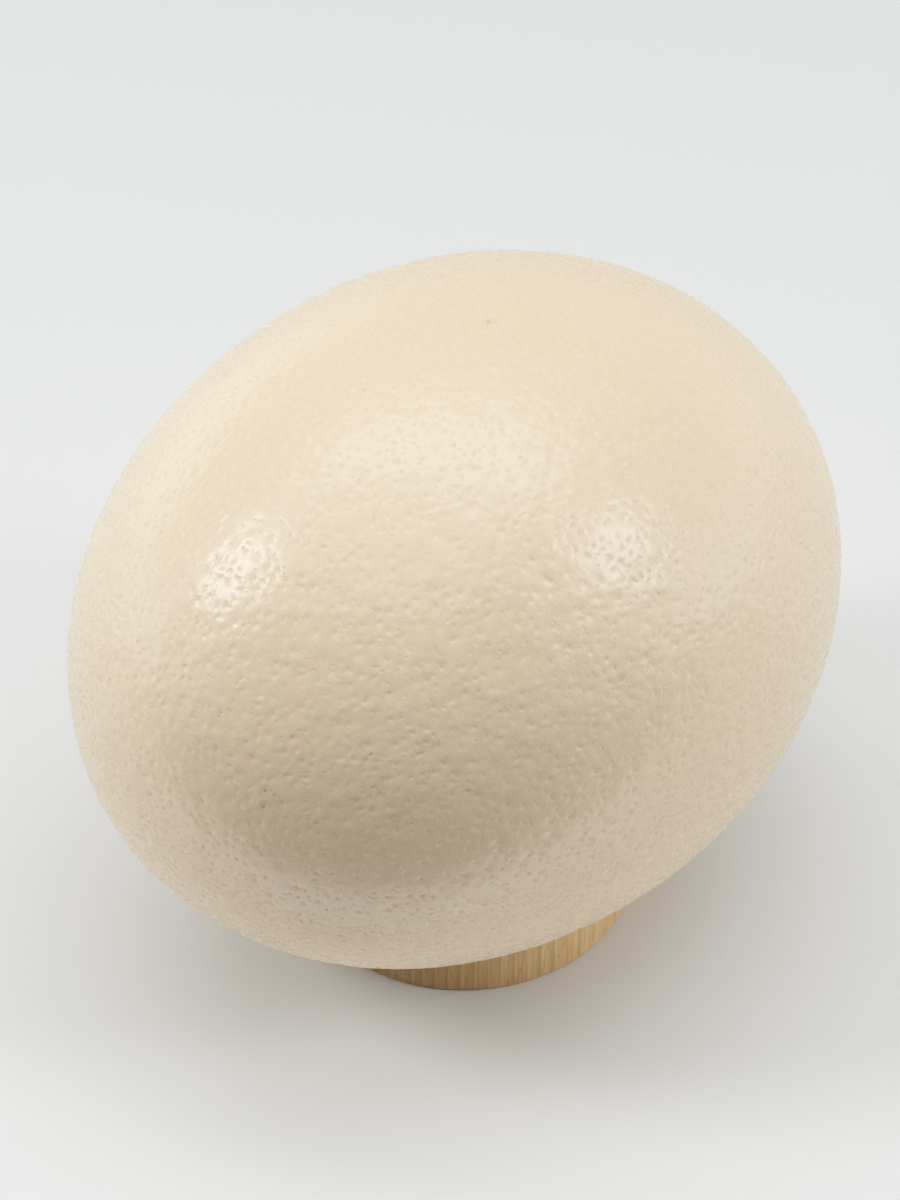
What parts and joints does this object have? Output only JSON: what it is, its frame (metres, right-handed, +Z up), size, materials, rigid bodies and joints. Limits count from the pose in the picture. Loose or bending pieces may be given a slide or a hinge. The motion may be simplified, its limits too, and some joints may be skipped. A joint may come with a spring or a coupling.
{
  "type": "ostrich egg",
  "caption": "Cream ostrich egg with a pitted, softly glossy shell, lying on its side on a shallow turned ring of light wood.",
  "frame": {"origin": "on the table under the middle of the egg, at the centre of the ring's underside", "axes": "+X along the egg's long axis, +Z up out of the table"},
  "size_m": [0.155, 0.125, 0.1308],
  "materials": {
    "eggshell": "natural ivory shell, satin gloss, covered in small pore pits",
    "ring_wood": "bare light wood, turned and sanded, grain running up the side"
  },
  "bodies": {
    "root": {"egg": "eggshell", "wooden_ring": "ring_wood"}
  },
  "joints": []
}
